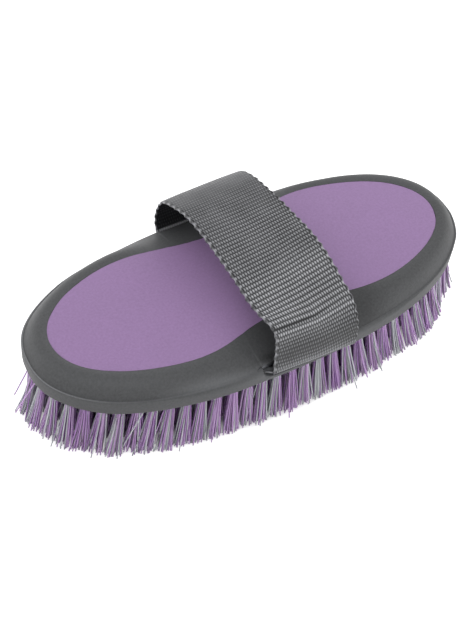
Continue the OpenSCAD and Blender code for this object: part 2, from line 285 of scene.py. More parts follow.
def new_group(name, inputs, outputs):
    """An empty shader node group with its sockets; returns its tree and its two end nodes."""
    tree = bpy.data.node_groups.new(name, "ShaderNodeTree")
    for socket, kind, value in inputs:
        made = tree.interface.new_socket(name=socket, in_out="INPUT", socket_type="NodeSocket" + kind)
        made.default_value = value
    for socket, kind in outputs:
        tree.interface.new_socket(name=socket, in_out="OUTPUT", socket_type="NodeSocket" + kind)
    return tree, tree.nodes.new("NodeGroupInput"), tree.nodes.new("NodeGroupOutput")


def node(tree, kind, settings=None, **values):
    """A node with its properties set and its named sockets filled from values or other sockets."""
    made = tree.nodes.new("ShaderNode" + kind)
    for key, value in (settings or {}).items():
        setattr(made, key, value)
    for key, value in values.items():
        key = key.replace("_", " ")
        socket = made.inputs[int(key[1:])] if key[0] == "i" and key[1:].isdigit() else made.inputs[key]
        if isinstance(value, bpy.types.NodeSocket):
            tree.links.new(value, socket)
        else:
            socket.default_value = value
    return made


def math_node(tree, operation, a, b=0.0, clamp=False):
    return node(tree, "Math", {"operation": operation, "use_clamp": clamp}, i0=a, i1=b).outputs[0]


def srgb(code):
    """A colour written as on a colour chart, in the linear values that shaders take."""
    values = [int(code[i:i + 2], 16) / 255 for i in (1, 3, 5)]
    return [v / 12.92 if v <= 0.04045 else ((v + 0.055) / 1.055) ** 2.4 for v in values] + [1.0]


# Moulded grain: fine speckle and slow clouding of a moulded face, and the height of its texture.
# It also adds the painted light and shade that a mesh keeps per point.
grain, grain_in, grain_out = new_group(
    "moulded_grain",
    [("Colour", "Color", (0.5, 0.5, 0.5, 1)), ("Grains per metre", "Float", 2600.0),
     ("Speckle", "Float", 0.2), ("Clouding", "Float", 0.08), ("Rough", "Float", 0.6)],
    [("Colour", "Color"), ("Roughness", "Float"), ("Height", "Float")])
where = node(grain, "TexCoord").outputs["Object"]
fine = node(grain, "TexNoise", Vector=where, Scale=grain_in.outputs["Grains per metre"], Detail=2.0,
            Roughness=0.6).outputs["Fac"]
cloud = node(grain, "TexNoise", Vector=where, Scale=45.0, Detail=3.0, Roughness=0.55).outputs["Fac"]
fine_off = math_node(grain, "SUBTRACT", fine, 0.5)
fine_off = math_node(grain, "MULTIPLY", fine_off, grain_in.outputs["Speckle"])
cloud_off = math_node(grain, "SUBTRACT", cloud, 0.5)
rough_off = math_node(grain, "MULTIPLY", cloud_off, 0.25)
cloud_off = math_node(grain, "MULTIPLY", cloud_off, grain_in.outputs["Clouding"])
# Painted light and shade kept per point on the board and the cover.
painted_shading = node(grain, "Attribute", {"attribute_name": "painted_shading"}).outputs["Fac"]
both_off = math_node(grain, "ADD", fine_off, cloud_off)
tone = math_node(grain, "ADD", 1.0, math_node(grain, "MULTIPLY", both_off, 2.0))
tone = math_node(grain, "ADD", tone, painted_shading)
toned = node(grain, "VectorMath", {"operation": "SCALE"}, i0=grain_in.outputs["Colour"], Scale=tone)
rough = math_node(grain, "ADD", grain_in.outputs["Rough"], rough_off)
grain.links.new(toned.outputs[0], grain_out.inputs["Colour"])
grain.links.new(rough, grain_out.inputs["Roughness"])
grain.links.new(fine, grain_out.inputs["Height"])


def new_material(name):
    """A material with its principled shader."""
    material = bpy.data.materials.new(name)
    material.use_nodes = True
    return material, material.node_tree, material.node_tree.nodes["Principled BSDF"]


def moulded_material(name, colour, grains, speckle, clouding, roughness, depth):
    """Moulded plastic or rubber with the grain group on it."""
    material, tree, shader = new_material(name)
    face = tree.nodes.new("ShaderNodeGroup")
    face.node_tree = grain
    for socket, value in (("Colour", srgb(colour)), ("Grains per metre", grains), ("Speckle", speckle),
                          ("Clouding", clouding), ("Rough", roughness)):
        face.inputs[socket].default_value = value
    bump = node(tree, "Bump", Strength=depth, Distance=0.0002, Height=face.outputs["Height"])
    tree.links.new(face.outputs["Colour"], shader.inputs["Base Color"])
    tree.links.new(face.outputs["Roughness"], shader.inputs["Roughness"])
    tree.links.new(bump.outputs["Normal"], shader.inputs["Normal"])
    return material


body_plastic = moulded_material("body_plastic", "#4c4d4f", 1000.0, 0.34, 0.07, 0.56, 0.2)
board.data.materials.append(body_plastic)
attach(board, "root")
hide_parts("bristle_board")


# Bristle tufts. Straight nylon filaments, lilac and grey mixed, folded in half and stapled into the
# board's holes in five rings. They splay towards the trimmed tips, and the outer rings lean outwards.
ring_lean = (5.9, 3.9, 2.3, 1.1, 0.4)
lean_shares = ((-180, 0.9), (-168, 0.85), (-160, 0.8), (-130, 0.75), (-112, 0.85), (-100, 1.0), (-70, 0.9),
               (-45, 0.9), (-30, 0.7), (-18, 0.9), (-8, 1.2), (0, 1.2), (180, 0.9))
end_lean = 0.8
filaments_per_tuft = (40, 38, 28, 22, 20)
filament_radius = 0.29
root_spread, tip_spread = 1.5, 4.0
root_depth = 0.9
loose_tip, astray_tip, astray_share = 0.45, 2.0, 0.05
upright_from, upright_fade, upright_lean = (40, 5), (30, 6), 1.5
end_spread, spread_stop, spread_fade = 55, 68, 28
grey_shares, grey_odds = (0.08, 0.2, 0.33, 0.62), (0.24, 0.38, 0.25, 0.13)
# The inner rings' filaments are painted lighter, against the shade under the board.
inner_row_light = 0.6
more_grey, more_grey_from, more_grey_fade = 0.17, 10, 45
strays = (("lilac", (-103.0, -2.4), (-109.0, 3.0), 3.0), ("lilac", (-101.2, 6.1), (-104.6, 12.3), 2.0),
          ("grey", (-71.1, -35.2), (-80.0, -33.4), 1.5))
tip_limit = (110.5, 51.0)
filament_sides, filament_steps = 5, 7
pick = np.random.default_rng(20)


def filament_paths(place, out, lean, count):
    """Centre lines of one tuft's filaments, as steps of points from the hole to the trimmed tips."""
    along = np.array([-out[1], out[0]])
    radius = np.sqrt((np.arange(count) + 0.5) / count) + pick.normal(0, 0.05, count)
    angle = np.arange(count) * 2.39996 + pick.uniform(0, 2 * np.pi)
    spot = np.stack([radius * np.cos(angle), radius * np.sin(angle)], 1)
    root = place + root_spread * (spot[:, :1] * out + spot[:, 1:] * along)
    loose = pick.normal(0, loose_tip, (count, 2))
    astray = pick.random((count, 1)) < astray_share
    loose = loose + astray * pick.normal(0, astray_tip, (count, 2))
    swing = pick.normal(0, 0.5, 2)
    reach = tip_spread * spot * (0.5, 1.0) + loose + swing
    tip = place + lean + reach[:, :1] * out + reach[:, 1:] * along
    tip = np.clip(tip, (-tip_limit[0], -tip_limit[1]), tip_limit)
    tip_z = np.clip(pick.normal(0.9, 0.4, count), 0.15, None)
    share = np.linspace(0, 1, filament_steps)
    bow = pick.normal(0, 0.35, (count, 1, 2))
    rise = share[None, :, None]
    splay = 0.75 * rise + 0.25 * rise ** 2
    xy = root[:, None] + (tip - root)[:, None] * splay + bow * (rise - rise ** 2) * 2
    z = board_under + root_depth + (tip_z[:, None] - board_under - root_depth) * share[None]
    return np.concatenate([xy, z[..., None]], 2)


def tube_mesh(paths, radius):
    """Points and faces of closed tubes along many paths of equal steps."""
    count, steps, _ = paths.shape
    run = np.gradient(paths, axis=1)
    run /= np.linalg.norm(run, axis=2, keepdims=True)
    side = np.cross(run, np.array([0.6, 0.8, 0.0]))
    side /= np.linalg.norm(side, axis=2, keepdims=True)
    other = np.cross(run, side)
    turns = np.arange(filament_sides) / filament_sides * 2 * np.pi
    ring = np.cos(turns)[:, None] * side[:, :, None] + np.sin(turns)[:, None] * other[:, :, None]
    points = (paths[:, :, None] + ring * radius[:, None, None, None]).reshape(-1, 3)
    k = np.arange(filament_sides)
    n = (k + 1) % filament_sides
    one = [np.stack([s * filament_sides + k, (s + 1) * filament_sides + k,
                     (s + 1) * filament_sides + n, s * filament_sides + n], 1) for s in range(steps - 1)]
    one = np.concatenate(one)
    start = np.arange(count) * steps * filament_sides
    quads = (start[:, None, None] + one[None]).reshape(-1, 4)
    last = start[:, None] + (steps - 1) * filament_sides
    caps = np.concatenate([start[:, None] + k[None], last + k[None, ::-1]])
    return points, quads.tolist() + caps.tolist()


def filament_material(name, dark, light):
    """Drawn nylon: each filament has its own tone, with painted light on the inner rings, and the tone
    drifts a little along it.
    """
    material, tree, shader = new_material(name)
    strand = node(tree, "Attribute", {"attribute_name": "strand_tone_and_painted_light"}).outputs["Fac"]
    where = node(tree, "TexCoord").outputs["Object"]
    drift = node(tree, "TexNoise", Vector=where, Scale=420.0, Detail=2.0).outputs["Fac"]
    own_tone = math_node(tree, "MULTIPLY", strand, 0.75)
    mixed = math_node(tree, "ADD", own_tone, math_node(tree, "MULTIPLY", drift, 0.3))
    ramp = node(tree, "ValToRGB", Fac=mixed)
    ramp.color_ramp.elements[0].position, ramp.color_ramp.elements[0].color = 0.05, srgb(dark)
    ramp.color_ramp.elements[1].position, ramp.color_ramp.elements[1].color = 0.95, srgb(light)
    gloss = math_node(tree, "ADD", 0.3, math_node(tree, "MULTIPLY", drift, 0.2))
    tree.links.new(ramp.outputs["Color"], shader.inputs["Base Color"])
    tree.links.new(gloss, shader.inputs["Roughness"])
    shader.inputs["Subsurface Weight"].default_value = 1.0
    shader.inputs["Subsurface Radius"].default_value = (1.0, 1.0, 1.0)
    shader.inputs["Subsurface Scale"].default_value = 0.001
    return material


filament_looks = {"lilac": filament_material("lilac_filament", "#9c74b0", "#caa9d9"),
                  "grey": filament_material("grey_filament", "#9fa3a7", "#cbcfd2")}
for row in range(len(ring_insets)):
    strands = {"lilac": [], "grey": []}
    for tuft_row, place, out in tufts:
        if tuft_row != row:
            continue
        upright = smooth_step((place[1] - upright_from[1]) / upright_fade[1])
        upright = upright * smooth_step((-place[0] - upright_from[0]) / upright_fade[0])
        spread = end_lean * np.clip(place[0] / end_spread, -1, 1)
        spread = spread * (1 - smooth_step((abs(place[0]) - spread_stop) / spread_fade))
        turned = math.degrees(math.atan2(place[1] / body_width, place[0] / body_length))
        lean_share = np.interp(turned, *zip(*lean_shares))
        lean = ring_lean[row] * lean_share * (1 - upright) * (out + (spread, 0))
        lean = lean - upright_lean * upright * out
        count = filaments_per_tuft[row]
        paths = filament_paths(place, out, lean, count)
        grey_share = pick.choice(grey_shares, p=grey_odds)
        grey_share = grey_share + more_grey * smooth_step((place[0] - more_grey_from) / more_grey_fade)
        grey = pick.random(count) < grey_share
        strands["grey"].append(paths[grey])
        strands["lilac"].append(paths[~grey])
    for shade, root, tip, tip_z in strays[:len(strays) * (row == 0)]:
        ends = np.array([(*root, board_under + root_depth), (*tip, tip_z)])
        strands[shade].append(np.linspace(*ends, filament_steps)[None])
    for shade, groups in strands.items():
        paths = np.concatenate(groups)
        points, faces = tube_mesh(paths, filament_radius * pick.uniform(0.88, 1.1, len(paths)))
        ring = make_piece("bristle_row_%d_%s" % (row + 1, shade), points, faces, sharp=0)
        # Each filament's random tone, raised for the inner rings by painted light against their shade.
        tones = np.repeat(pick.random(len(paths)) + inner_row_light * (row > 0), filament_steps * filament_sides)
        ring.data.attributes.new("strand_tone_and_painted_light", "FLOAT", "POINT").data.foreach_set("value", tones)
        ring.data.materials.append(filament_looks[shade])
        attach(ring, "root")
        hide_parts("bristle_row_%d" % (row + 1))


# Strap pins, cover screws and tuft anchors. Drawn steel wire and small plated screws, all set inside
# the body: the pins show only at the ends of the slots, the anchors at the bottom of the tuft holes.
def steel_material(name, colour, roughness, streak):
    """Bright drawn steel with faint streaks along X and a few dull patches."""
    material, tree, shader = new_material(name)
    where = node(tree, "TexCoord").outputs["Object"]
    stretched = node(tree, "Mapping", Vector=where, Scale=(60.0, 2400.0, 2400.0)).outputs["Vector"]
    streaks = node(tree, "TexNoise", Vector=stretched, Scale=1.0, Detail=3.0).outputs["Fac"]
    dull = node(tree, "TexNoise", Vector=where, Scale=700.0, Detail=2.0).outputs["Fac"]
    tone = math_node(tree, "ADD", 0.85, math_node(tree, "MULTIPLY", streaks, 0.3))
    colours = node(tree, "VectorMath", {"operation": "SCALE"}, i0=srgb(colour)[:3], Scale=tone)
    rough = math_node(tree, "ADD", roughness, math_node(tree, "MULTIPLY", dull, 0.2))
    bump = node(tree, "Bump", Strength=streak, Distance=0.0001, Height=streaks)
    tree.links.new(colours.outputs[0], shader.inputs["Base Color"])
    tree.links.new(rough, shader.inputs["Roughness"])
    tree.links.new(bump.outputs["Normal"], shader.inputs["Normal"])
    shader.inputs["Metallic"].default_value = 1.0
    return material


steel_looks = {"strap_pin_front": steel_material("pin_steel", "#6a6c70", 0.4, 0.2),
               "cover_screws": steel_material("screw_steel", "#b9bbbd", 0.3, 0.1),
               "tuft_anchors": steel_material("anchor_wire", "#c2b896", 0.35, 0.1)}
steel_looks["strap_pin_rear"] = steel_looks["strap_pin_front"]
for name, look in steel_looks.items():
    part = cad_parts[name]
    part.data.materials.clear()
    part.data.materials.append(look)


# Hand strap. Grey plain-woven webbing, 40 mm wide, looped under a steel pin at each side and led out over
# the lips of the board. It lies twisted, its right edge higher, and has a fold at its front bend. Its tones
# hold painted shade in the weave's gaps and painted highlights on the yarns, the fold and the lit front.
strap_width, warps, pick_pitch = 40.0, 68, 2.0
warp_pitch = strap_width / warps
pin_y, pin_z, eye_radius = 40.3, 30.3, 2.3
warp_wave, warp_half_width, warp_half_thick = 0.38, 0.52, 0.32
weft_half_width, weft_half_thick = 0.75, 0.16
core, relief_base = 0.12, 0.1
edge_round_width, edge_round_most = 0.7, 1.2
scallop_depth, scallop_worn = 0.3, 0.7
selvedge, selvedge_tone, selvedge_swap = 0.35, 0.68, 0.2
centre_front, centre_rear = 3.8, 1.0
eye_turn = 130
eye_skew, skew_reach, skew_fade = 6.6, 4.2, 4.0
# The rolled edge by the front eye lies in shade and is painted lighter.
roll_reach, roll_fade, roll_light = 5, 4, 0.6
leg_height, leg_reach, leg_front, leg_bow = 38, 6, -30, 0.7
crest_place, crest_reach, crest_foot, crest_fade, crest_bow = 36, 11, 36, 12, 0.5
pulled_height, pulled_reach = 29, 3
# The fold is painted with a highlight, and the crease beside it with painted shade.
fold_row, fold_width, fold_rise, fold_highlight = -11.8, 0.45, 0.18, 0.16
crease_row, crease_width, crease_depth, crease_shade = -10.7, 0.55, 0.2, 0.35
# A painted highlight along one row of the lower face by the rear slot; the rest of that face is painted
# darker, as in shade.
lit_row_height, lit_row_width, lit_row_from = 30.7, 0.5, 40
lit_row_tone, lit_row_swing = 0.85, 0.35
underside_shade = 0.75
# Painted light along the strap: the upper front, most at its left, painted lighter; the rear half, the
# crest and the legs painted darker.
full_tone, front_highlight, left_front_highlight = 0.84, 0.15, 0.05
rear_shade, crest_shade, leg_shade = 0.12, 0.12, 0.26

# Weft rows counted from the strap's middle, and how far along three lines of the strap they lie.
row_sides = (-0.85, 0.0, 0.85)
row_numbers = (-26, -20, -16, -12, -10, -6, -3, 0, 26, 47)
rows_left = (3.5, 15.7, 24.3, 31.6, 35.0, 44.0, 51.3, 57.8, 109.5, 151.4)
rows_middle = (2.7, 16.1, 25.0, 31.5, 35.0, 45.2, 51.9, 57.9, 109.1, 151.0)
rows_right = (6.0, 19.1, 26.2, 33.7, 37.9, 47.0, 53.3, 59.3, 109.7, 151.5)

eye_angles = np.radians(np.linspace(225, 225 - eye_turn, 8))
front_eye = [(-pin_y - eye_radius * math.cos(a), pin_z - eye_radius * math.sin(a)) for a in eye_angles]
rear_eye = [(-y, z) for y, z in front_eye[::-1]]
left_edge = front_eye + [
    (-42.4, 28.0), (-44.3, 27.9), (-45.3, 29.0), (-45.0, 31.8), (-44.4, 36.6), (-43.9, 42.3), (-43.3, 46.3),
    (-42.2, 48.9), (-40.0, 50.5), (-36.4, 50.9), (-33.0, 50.4), (-28.5, 50.0), (-23.6, 50.1), (-19.4, 50.9),
    (-15.7, 52.0), (-11.6, 53.1), (-7.2, 53.9), (-3.1, 54.7), (1.4, 55.4), (5.5, 56.1), (10.3, 56.7),
    (14.7, 57.1),
    (19.9, 57.3), (25.0, 57.0), (28.9, 56.2), (34.9, 54.1), (39.8, 51.9), (43.5, 49.2), (45.9, 44.0),
    (46.9, 38.8), (46.3, 33.8), (44.2, 30.0), (42.5, 28.3)] + rear_eye
right_edge = front_eye + [
    (-42.5, 28.0), (-45.0, 27.9), (-46.6, 28.9), (-47.0, 31.9), (-46.9, 35.6), (-46.0, 41.2), (-44.3, 45.0),
    (-41.2, 49.0), (-38.1, 51.2), (-33.9, 52.8), (-30.5, 54.2), (-27.1, 55.8), (-23.3, 57.2), (-19.6, 58.4),
    (-15.5, 59.4), (-11.1, 60.1), (-6.5, 60.4), (-0.2, 60.2), (3.2, 59.9), (7.6, 59.7), (12.8, 59.5),
    (16.2, 59.2),
    (20.4, 58.7), (23.4, 58.3), (27.2, 57.7), (32.1, 56.9), (36.3, 55.6), (39.3, 54.3), (42.1, 52.3),
    (45.0, 48.5), (46.4, 43.8), (46.4, 38.6), (45.7, 33.6), (44.0, 30.0), (42.5, 28.3)] + rear_eye


def smooth_line(points, steps=30):
    """A curve through the points with tangents from their neighbours, as many short steps."""
    p = np.asarray(points, float)
    p = np.concatenate([[2 * p[0] - p[1]], p, [2 * p[-1] - p[-2]]])
    knots = np.concatenate([[0], np.cumsum(np.sqrt(np.linalg.norm(np.diff(p, axis=0), axis=1)))])
    line = []
    for i in range(1, len(p) - 2):
        t = np.linspace(knots[i], knots[i + 1], steps, endpoint=False)[:, None]
        k = knots[i - 1:i + 3]
        a = [((k[j + 1] - t) * p[i - 1 + j] + (t - k[j]) * p[i + j]) / (k[j + 1] - k[j]) for j in range(3)]
        b = [((k[j + 2] - t) * a[j] + (t - k[j]) * a[j + 1]) / (k[j + 2] - k[j]) for j in range(2)]
        line.append(((k[2] - t) * b[0] + (t - k[1]) * b[1]) / (k[2] - k[1]))
    return np.concatenate(line + [p[-2:-1]])


def edge_line(points):
    """One edge of the strap as a function of the share of its length, and that length."""
    line = smooth_line(points)
    way = np.concatenate([[0], np.cumsum(np.linalg.norm(np.diff(line, axis=0), axis=1))])
    kernel = np.hanning(61) / np.hanning(61).sum()
    even = np.linspace(0, way[-1], 3000)
    padded = [np.pad(np.interp(even, way, line[:, i]), 30, mode="edge") for i in (0, 1)]
    soft = [np.convolve(one, kernel, "valid") for one in padded]

    def at_share(share):
        return np.stack([np.interp(share, even / way[-1], one) for one in soft], -1)

    return at_share, way[-1]


left_line, left_length = edge_line(left_edge)
right_line, right_length = edge_line(right_edge)
strap_length = (left_length + right_length) / 2
eye_length = math.radians(eye_turn) * eye_radius


def yarn_height(across, along, wave):
    """Height of the upper yarn of a plain weave, at a place counted in warps and picks."""
    top = np.full(np.broadcast(across, along).shape, -1.0)
    base = np.floor(across)
    for i in (-1, 0, 1):
        warp = base + i
        off = (across - warp - 0.5) * warp_pitch / warp_half_width
        crest = np.cos(np.pi * (along + warp))
        crest = wave * np.sign(crest) * np.abs(crest) ** 1.2
        over = crest + warp_half_thick * np.sqrt(np.clip(1 - off ** 2, 0, 1))
        top = np.maximum(top, np.where(np.abs(off) < 1, over, -1.0))
    off = (along - np.round(along)) * pick_pitch / weft_half_width
    weft = weft_half_thick * np.sqrt(np.clip(1 - off ** 2, 0, 1))
    return np.maximum(top, np.where(np.abs(off) < 1, weft, -0.1))


places = np.concatenate([np.linspace(0, eye_length, 16, endpoint=False),
                         np.arange(eye_length, strap_length - eye_length, pick_pitch / 5),
                         np.linspace(strap_length - eye_length, strap_length, 16)])
left_yz, right_yz = left_line(places / strap_length), right_line(places / strap_length)


def row_count(rows):
    """Number of the weft row at each place along one line of the strap, with the spacing smoothed."""
    fine = np.arange(-10, strap_length + 10, 0.25)
    count = np.interp(fine, rows, row_numbers)
    kernel = np.hanning(21) / np.hanning(21).sum()
    return np.interp(places, fine, np.convolve(np.pad(count, 10, mode="edge"), kernel, "valid"))


row_lines = [row_count(rows) for rows in (rows_left, rows_middle, rows_right)]


def strap_face(across, sign, phase):
    """Points of one face of the webbing, raised by its relief, with their tones, which hold painted light
    and shade, and weft rows.
    """
    side = (across - warps / 2) / (warps / 2)
    share = (side[None, :, None] + 1) / 2
    yz = left_yz[:, None] * (1 - share) + right_yz[:, None] * share
    rows = np.stack([np.interp(side, row_sides, three) for three in zip(*row_lines)])
    on_leg = bell(yz[..., 1], leg_height, leg_reach) * (yz[..., 0] < leg_front)
    on_crest = bell(yz[..., 0], crest_place, crest_reach)
    on_crest = on_crest * smooth_step((yz[..., 1] - crest_foot) / crest_fade)
    inside = strap_width / 2 - np.abs(side) * strap_width / 2
    near_edge = np.clip(1 - inside / edge_round_width, 0, edge_round_most)[None]
    swap = np.cos(np.pi * (rows + (side > 0)[None]))
    scallop = scallop_depth * swap * near_edge * (1 - scallop_worn * smooth_step((yz[..., 0] - 34) / 6))
    centre = centre_front + (centre_rear - centre_front) * (yz[..., 0] + 45) / 90
    centre = centre - eye_skew * smooth_step((eye_length + skew_reach - places[:, None]) / skew_fade)
    x = centre + side[None] * strap_width / 2 + np.sign(side)[None] * scallop
    flat = np.concatenate([x[..., None], yz], 2)
    normal = np.cross(np.gradient(flat, axis=1), np.gradient(flat, axis=0))
    normal /= np.linalg.norm(normal, axis=2, keepdims=True)
    pulled = bell(yz[..., 1], pulled_height, pulled_reach)
    wave = warp_wave * (1 - 0.4 * on_leg) * (1 - 0.8 * on_crest) * (1 - 0.6 * pulled)
    relief = yarn_height(across[None], rows + phase, wave)
    fold, crease = (rows - fold_row) * pick_pitch, (rows - crease_row) * pick_pitch
    creased = bell(crease, 0, crease_width) * (1 - smooth_step((side[None] + 0.3) / 0.8))
    folded = bell(fold, 0, fold_width)
    thin = np.sqrt(np.clip(1 - (near_edge / edge_round_most) ** 2, 0, 1))
    bow = leg_bow * (1 - side[None] ** 2) * on_leg + crest_bow * (1 - np.abs(side[None]) ** 3) * on_crest
    rise = sign * (core + relief + relief_base) * thin + bow + fold_rise * folded - crease_depth * creased
    upper_front = smooth_step((-8 - yz[..., 0]) / 14) * smooth_step((yz[..., 1] - 44) / 5)
    rear_half = smooth_step((yz[..., 0] - 4) / 16)
    # Painted shade and highlights: the tone follows the relief, dark in the weave's gaps and light on the
    # crests.
    tone = np.clip((relief + relief_base) / (wave + warp_half_thick + relief_base), 0, 1)
    # Painted light: more contrast on the upper front, which faces the light, and less on the rear half; the
    # upper front is painted lighter, the rear half, crest and legs darker.
    tone = tone ** (1.05 + 0.15 * upper_front - 0.35 * rear_half)
    left_front = upper_front * smooth_step(-side)[None]
    fullness = full_tone + front_highlight * upper_front + left_front_highlight * left_front
    tone = tone * (fullness - rear_shade * rear_half - crest_shade * on_crest - leg_shade * on_leg)
    # Painted shade: dark spots in the holes between the edge scallops.
    edge_hole_shade = np.clip(swap, 0, 1) ** 2 * bell(inside[None], 0.9, 0.4) * (1 - 0.7 * on_crest)
    bound = selvedge_tone - selvedge_swap * swap
    tone = np.where(inside[None] < selvedge, bound, tone * (1 - 0.8 * edge_hole_shade))
    # Painted light on the rolled edge by the front eye.
    rolled = smooth_step((eye_length + roll_reach - places[:, None]) / roll_fade)
    rolled = rolled * smooth_step((-side[None] - 0.6) / 0.2)
    # Painted highlight along the fold, painted shade in the crease, and painted light on the rolled edge.
    tone = tone + fold_highlight * folded - crease_shade * creased + roll_light * rolled
    # Painted shade over the lower face, and a painted highlight along one row of it by the rear slot.
    if sign < 0:
        lit_row = bell(yz[..., 1], lit_row_height, lit_row_width) * (yz[..., 0] > lit_row_from)
        stitches = lit_row_tone + lit_row_swing * np.cos(np.pi * (across - 0.5))
        tone = underside_shade * tone + lit_row * stitches[None]
    return flat + normal * rise[..., None], np.clip(tone, 0, 1), rows


upper_across = np.concatenate([[-0.25], np.arange(1, 2 * warps) / 2, [warps + 0.25]])
lower_across = np.concatenate([[-0.25], np.arange(warps) + 0.5, [warps + 0.25]])
upper, upper_tone, upper_rows = strap_face(upper_across, 1, 0)
lower, lower_tone, lower_rows = strap_face(lower_across, -1, 1)
loop = np.concatenate([upper, lower[:, -2:0:-1]], 1)
steps, wide = loop.shape[:2]
strap_faces = np.concatenate(ring_faces(steps, wide))[:, ::-1].tolist()
strap_faces += [list(range(wide)), list(range((steps - 1) * wide, steps * wide))[::-1]]
strap = make_piece("hand_strap_webbing", loop.reshape(-1, 3), strap_faces, sharp=0)
yarn_tone = np.concatenate([upper_tone, lower_tone[:, -2:0:-1]], 1).ravel()
# The tones, the weave's painted light and shade, go into the yarn_height attribute.
strap.data.attributes.new("yarn_height", "FLOAT", "POINT").data.foreach_set("value", yarn_tone)
yarn_across = np.concatenate([upper_across, lower_across[-2:0:-1]])
yarn_rows = np.concatenate([upper_rows, lower_rows[:, -2:0:-1]], 1)
yarn_place = np.stack([np.broadcast_to(yarn_across, yarn_rows.shape), yarn_rows], -1).reshape(-1, 2)
corner_points = np.zeros(len(strap.data.loops), np.int32)
strap.data.loops.foreach_get("vertex_index", corner_points)
yarn_map = strap.data.uv_layers.new(name="yarns")
yarn_map.uv.foreach_set("vector", yarn_place[corner_points].astype(np.float32).ravel())

webbing, tree, shader = new_material("webbing")
yarns = node(tree, "UVMap", {"uv_map": "yarns"}).outputs["UV"]
along_yarns = node(tree, "Mapping", Vector=yarns, Scale=(7.0, 1.1, 1.0)).outputs["Vector"]
fibres = node(tree, "TexNoise", Vector=along_yarns, Scale=1.0, Detail=3.0).outputs["Fac"]
where = node(tree, "TexCoord").outputs["Object"]
worn = node(tree, "TexNoise", Vector=where, Scale=60.0, Detail=2.0).outputs["Fac"]
yarn_tone_and_shading = node(tree, "Attribute", {"attribute_name": "yarn_height"}).outputs["Fac"]
mixed = math_node(tree, "ADD", math_node(tree, "MULTIPLY", yarn_tone_and_shading, 0.85),
                  math_node(tree, "MULTIPLY", math_node(tree, "ADD", fibres, worn), 0.15))
# The ramp turns the painted yarn shading into colour, near black in the gaps and light grey on lit crests.
ramp = node(tree, "ValToRGB", Fac=mixed)
ramp.color_ramp.elements[0].position, ramp.color_ramp.elements[0].color = 0.5, srgb("#1e1f22")
ramp.color_ramp.elements[1].position, ramp.color_ramp.elements[1].color = 1.0, srgb("#cecfd4")
middle = ramp.color_ramp.elements.new(0.875)
middle.color = srgb("#a2a3a7")
tree.links.new(ramp.outputs["Color"], shader.inputs["Base Color"])
gloss = math_node(tree, "ADD", 0.3, math_node(tree, "MULTIPLY", fibres, 0.2))
tree.links.new(gloss, shader.inputs["Roughness"])
bump = node(tree, "Bump", Strength=0.35, Distance=0.0001, Height=fibres)
tree.links.new(bump.outputs["Normal"], shader.inputs["Normal"])
strap.data.materials.append(webbing)
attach(strap, "root")
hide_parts("hand_strap")


# Cover. The upper half of the back, moulded in the same soft-touch plastic, screwed down on the board.
# Its ends roll over in a full shoulder, and beside the strap it sweeps out flush with the board's edge.
rim_end, rim_side, rim_side_more = 10.3, 10.5, 1.4
waist_depth, waist_reach = 9.3, ((29.4, 34.0), (38.0, 29.4))
cover_rise, shoulder_bulge, sweep_bulge = 7.6, 0.42, 0.25
inlay_edge = board_over + cover_rise
recess_depth, inlay_crown = 1.6, 1.6
foot_width, hollow, foot_fillet = 5.2, 4.0, 0.5
slot_setback = 3.0
wall_rings, wall_crowding = 27, 1.5
# Painted light and shade on the cover's wall: darker at its foot, on the right, in the nook and beside the
# strap for its shadow, and lighter on the rounded foot left of the strap and on the front left shoulder.
wall_foot_shade, wall_height = 0.22, 3.0
right_wall_shade, right_wall_height = 0.14, 4.0
right_front_start, right_end_start, right_fade = 40, 80, 15
strap_shadow_tones = ((33.0, 12.0, 0.4), (-38.0, 16.0, 0.08), (-15.0, 8.0, 0.08))
nook_place, nook_reach, nook_height, nook_width, nook_shade = -16.5, 5.5, 1.7, 1.9, 0.5
right_end_shade, right_end_height = 0.25, 4
shoulder_place, shoulder_length, shoulder_highlight = -41.0, 19.0, 0.8
shoulder_height, shoulder_width = 0.4, 1.8
sheen, sheen_share, sheen_width, sheen_place, sheen_length = 0.22, 0.42, 0.16, -82.0, 22.0


def inlay_outline(t, inset=0.0):
    """Points of the waisted oval where the cover meets the inlay."""
    px = (body_length / 2 - rim_end - inset) * signed_power(np.cos(t), 2 / 2.6)
    front = np.sin(t) < 0
    side = rim_side + rim_side_more * front * smooth_step(px / 45)
    reach = np.where(front, np.where(px < 0, *waist_reach[0]), np.where(px < 0, *waist_reach[1]))
    py = (body_width / 2 - side - inset) * np.abs(np.sin(t)) ** 0.95
    py = py - waist_depth * np.exp(-(np.abs(px) / reach) ** 2.5)
    return np.stack([px, np.sign(np.sin(t)) * py], -1)


foot_step = 0.75 + 0.5 * at_waist
on_round = np.clip(edge_round - foot_step, 0, None)
foot_drop = np.where(on_round > 0, edge_round - np.sqrt(edge_round ** 2 - on_round ** 2), 0)
foot = np.stack([outline(t, d) for t, d in zip(round_body, foot_step)])
inlay_ring = inlay_outline(round_body)
rim_width = np.linalg.norm(foot - inlay_ring, axis=1)
waisted = 1 - smooth_step((body_x - 18) / 34)
slot_start = (slot_setback - foot_step) * on_crack / rim_width


def cover_height(share):
    """Height of the cover over its foot, at a share of the way from the foot to the inlay."""
    full = cover_rise * (share + shoulder_bulge * np.sin(np.pi * share))
    full = full * (1 - np.exp(-share * rim_width / foot_fillet)) - foot_drop * (1 - share) ** 6
    swept = (cover_rise + foot_drop) * (share + sweep_bulge * share * (1 - share)) - foot_drop
    return full + (swept - full) * waisted


def cover_ring(share):
    xy = foot + (inlay_ring - foot) * share[:, None]
    return np.column_stack([xy, board_over + cover_height(share)])


def crown_ring(edge, share, z):
    return np.column_stack([edge * share, np.full(len(edge), z + inlay_crown * (1 - share ** 2))])


